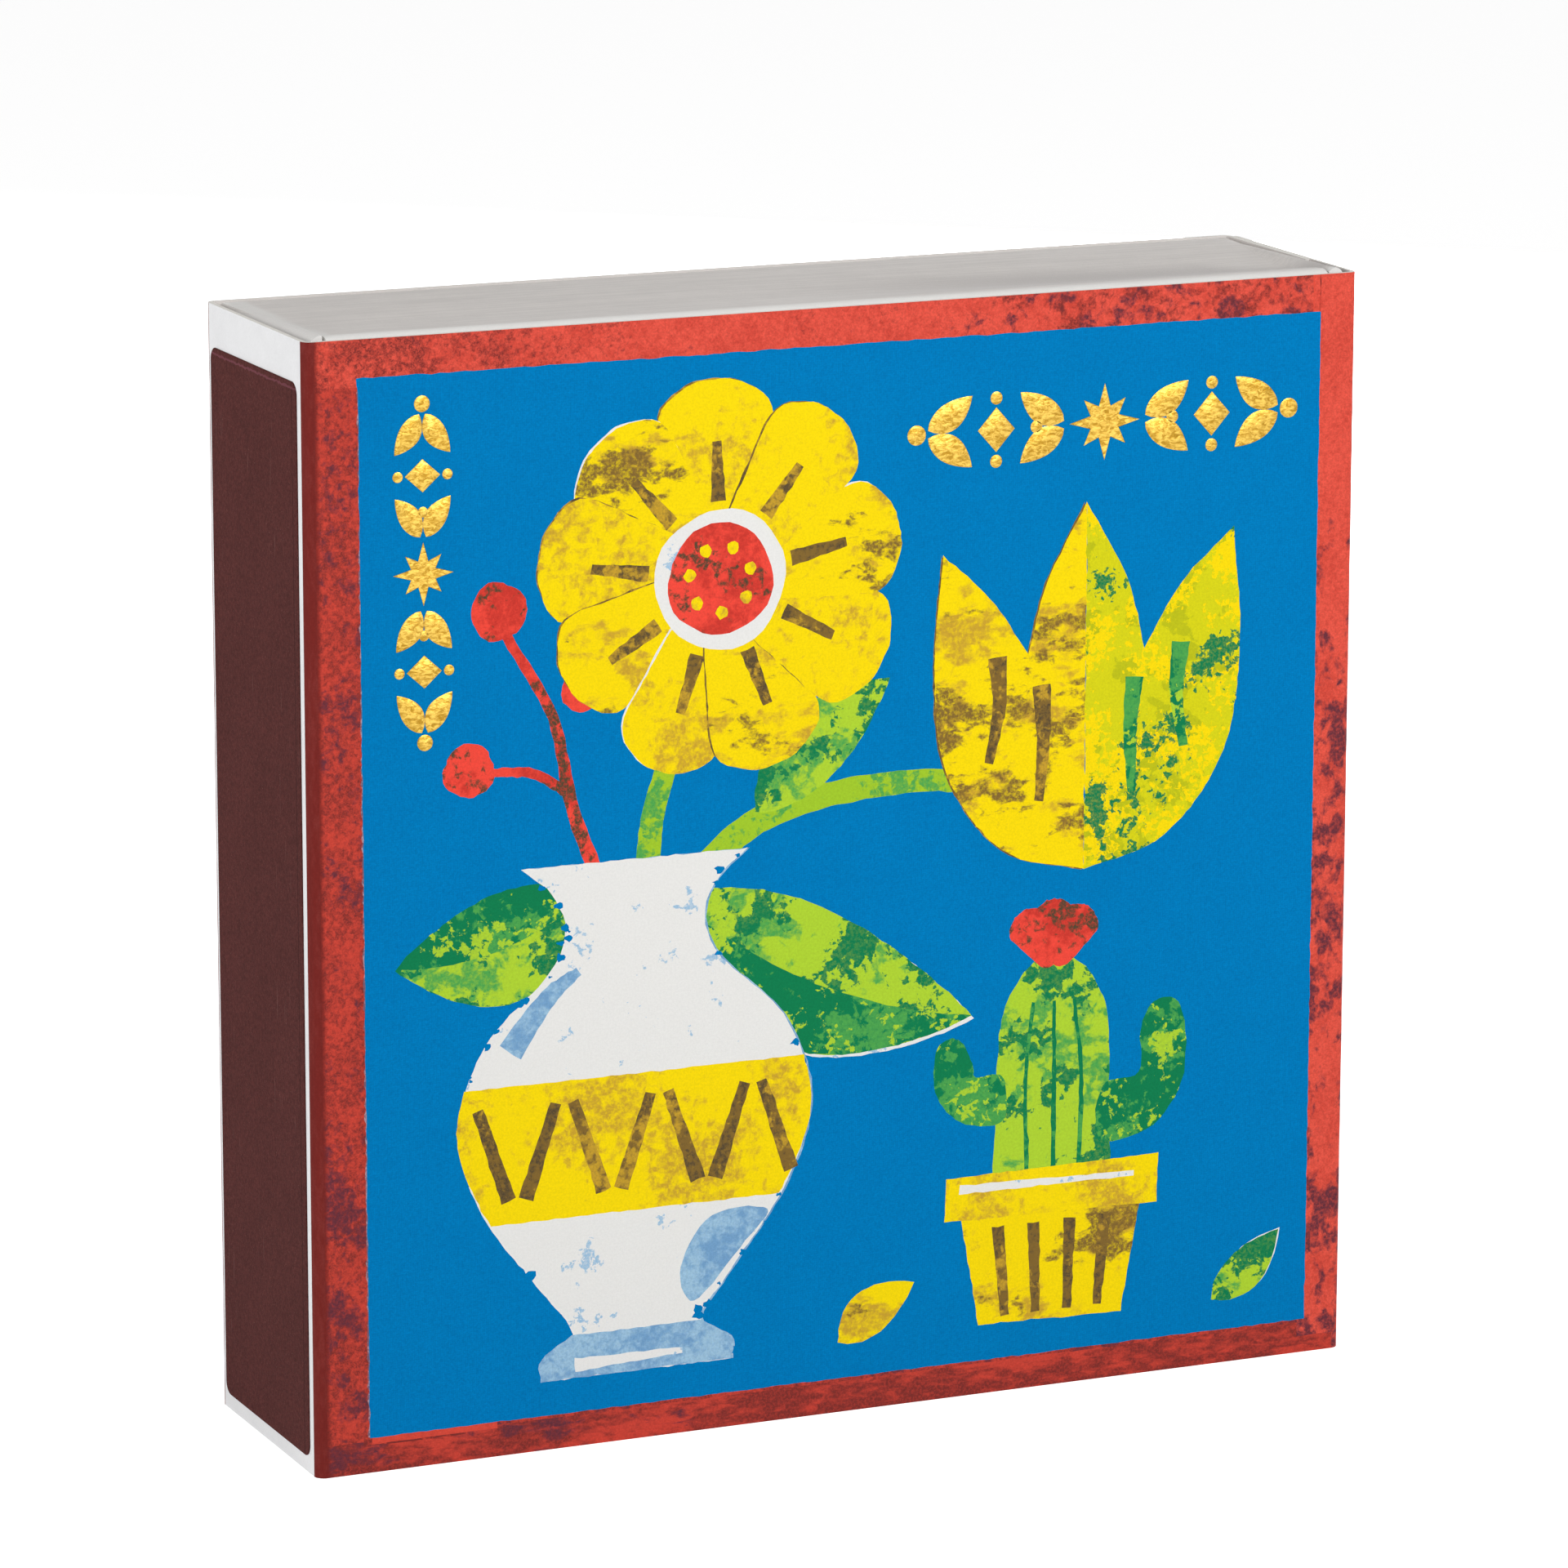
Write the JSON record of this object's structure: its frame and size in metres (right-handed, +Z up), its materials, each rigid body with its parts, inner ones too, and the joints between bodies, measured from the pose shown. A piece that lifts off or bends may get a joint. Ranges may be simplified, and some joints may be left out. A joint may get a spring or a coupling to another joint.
{
  "type": "matchbox",
  "caption": "Square card matchbox standing on its open end: a folded sleeve with a striking strip on each narrow side, and a sliding tray of long wooden matches.",
  "frame": {"origin": "centre of the sleeve's lower open end, in the plane that the box stands on", "axes": "+Z up along the sleeve, the way the tray slides; -Y out of the printed front; +X to the right as seen from the front"},
  "size_m": [0.1052, 0.026, 0.105],
  "materials": {
    "printed_board": "coated folding board, printed outside",
    "plain_board": "uncoated white folding board",
    "striker_coat": "matte abrasive coating",
    "match_wood": "bare sawn softwood"
  },
  "bodies": {
    "sleeve": {"sleeve": "printed_board", "striker_left": "striker_coat", "striker_right": "striker_coat"},
    "tray": {"tray": "plain_board", "match_1_01": "match_wood", "match_1_02": "match_wood", "match_1_03": "match_wood", "match_1_04": "match_wood", "match_1_05": "match_wood", "match_1_06": "match_wood", "match_1_07": "match_wood", "match_1_08": "match_wood", "match_1_09": "match_wood", "match_1_10": "match_wood", "match_1_11": "match_wood", "match_1_12": "match_wood", "match_1_13": "match_wood", "match_1_14": "match_wood", "match_1_15": "match_wood", "match_1_16": "match_wood", "match_1_17": "match_wood", "match_1_18": "match_wood", "match_1_19": "match_wood", "match_1_20": "match_wood", "match_1_21": "match_wood", "match_1_22": "match_wood", "match_1_23": "match_wood", "match_2_01": "match_wood", "match_2_02": "match_wood", "match_2_03": "match_wood", "match_2_04": "match_wood", "match_2_05": "match_wood", "match_2_06": "match_wood", "match_2_07": "match_wood", "match_2_08": "match_wood", "match_2_09": "match_wood", "match_2_10": "match_wood", "match_2_11": "match_wood", "match_2_12": "match_wood", "match_2_13": "match_wood", "match_2_14": "match_wood", "match_2_15": "match_wood", "match_2_16": "match_wood", "match_2_17": "match_wood", "match_2_18": "match_wood", "match_2_19": "match_wood", "match_2_20": "match_wood", "match_2_21": "match_wood", "match_2_22": "match_wood", "match_2_23": "match_wood", "match_row_3": "match_wood", "match_row_4": "match_wood"}
  },
  "joints": [
    {"name": "tray_slide", "type": "slide", "parent": "sleeve", "child": "tray", "axis": [0, 0, 1], "range_m": [-0.085, 0.085]}
  ]
}
